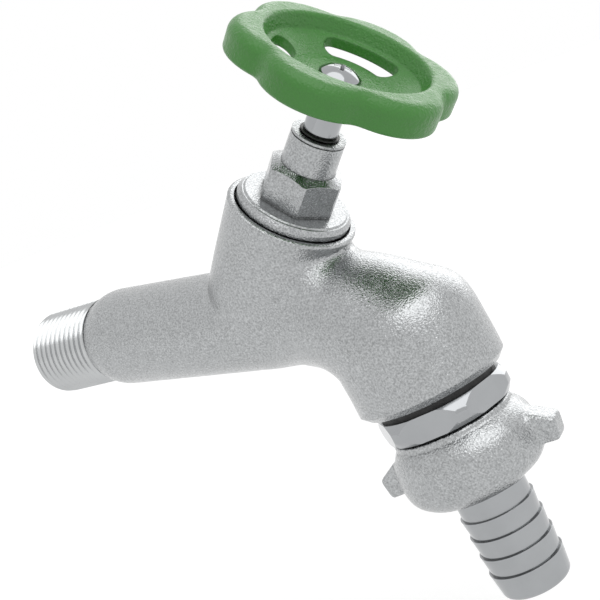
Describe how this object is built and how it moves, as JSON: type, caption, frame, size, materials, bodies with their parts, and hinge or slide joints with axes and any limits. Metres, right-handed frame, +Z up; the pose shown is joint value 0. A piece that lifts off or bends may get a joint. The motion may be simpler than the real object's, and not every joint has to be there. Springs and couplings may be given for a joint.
{
  "type": "water tap",
  "caption": "Wall tap with a threaded inlet, an inclined valve stem under a lobed handwheel, a curved spout and a wing nut hose union with a barbed tail.",
  "frame": {"origin": "centre of the inlet thread's end face", "axes": "+X along the inlet thread towards the spout, +Z up with the inlet level, XZ the plane in which the tap is symmetric"},
  "size_m": [0.1269, 0.0468, 0.1316],
  "materials": {
    "blasted_chrome": "satin",
    "polished_chrome": "gloss",
    "green_plastic": "satin",
    "rubber": "matte",
    "fibre": "matte",
    "black_steel": "satin",
    "white_plastic": "matte",
    "brass": "satin"
  },
  "bodies": {
    "root": {"body": "blasted_chrome", "bonnet": "blasted_chrome", "bonnet_gasket": "fibre", "thrust_washer": "white_plastic", "nipple_seal": "rubber", "outlet_nipple": "polished_chrome"},
    "spindle_body": {"spindle": "polished_chrome", "spindle_o_rings": "rubber", "spindle_clip": "black_steel", "handwheel": "green_plastic", "wheel_screw": "polished_chrome"},
    "valve_body": {"valve_carrier": "brass", "carrier_o_ring": "rubber", "seat_washer": "rubber", "seat_screw": "brass"},
    "union_body": {"union_washer": "rubber"},
    "tail_body": {"hose_tail": "polished_chrome"},
    "nut_body": {"wing_nut": "blasted_chrome"}
  },
  "joints": [
    {"name": "spindle_turn", "type": "hinge", "parent": "root", "child": "spindle_body", "pos_m": [0.09768, 0, 0.02809], "axis": [0.712, 0, 0.7022], "range_deg": [0, 900]},
    {"name": "valve_lift", "type": "slide", "parent": "root", "child": "valve_body", "axis": [0.712, 0, 0.7022], "range_m": [0, 0.005]},
    {"name": "union_travel", "type": "slide", "parent": "root", "child": "union_body", "axis": [0.1564, 0, -0.9877], "range_m": [0, 0.00907]},
    {"name": "wing_nut_turn", "type": "hinge", "parent": "union_body", "child": "nut_body", "pos_m": [0.10604, 0, -0.04445], "axis": [0.1564, 0, -0.9877], "range_deg": [0, 1800]},
    {"name": "tail_swivel", "type": "hinge", "parent": "union_body", "child": "tail_body", "pos_m": [0.10839, 0, -0.05926], "axis": [0.1564, 0, -0.9877], "range_deg": [-180, 180]}
  ],
  "couplings": [
    {"joint": "spindle_turn", "follows": "valve_lift", "rad_per_m": 3141.6},
    {"joint": "wing_nut_turn", "follows": "union_travel", "rad_per_m": 3463.7}
  ]
}
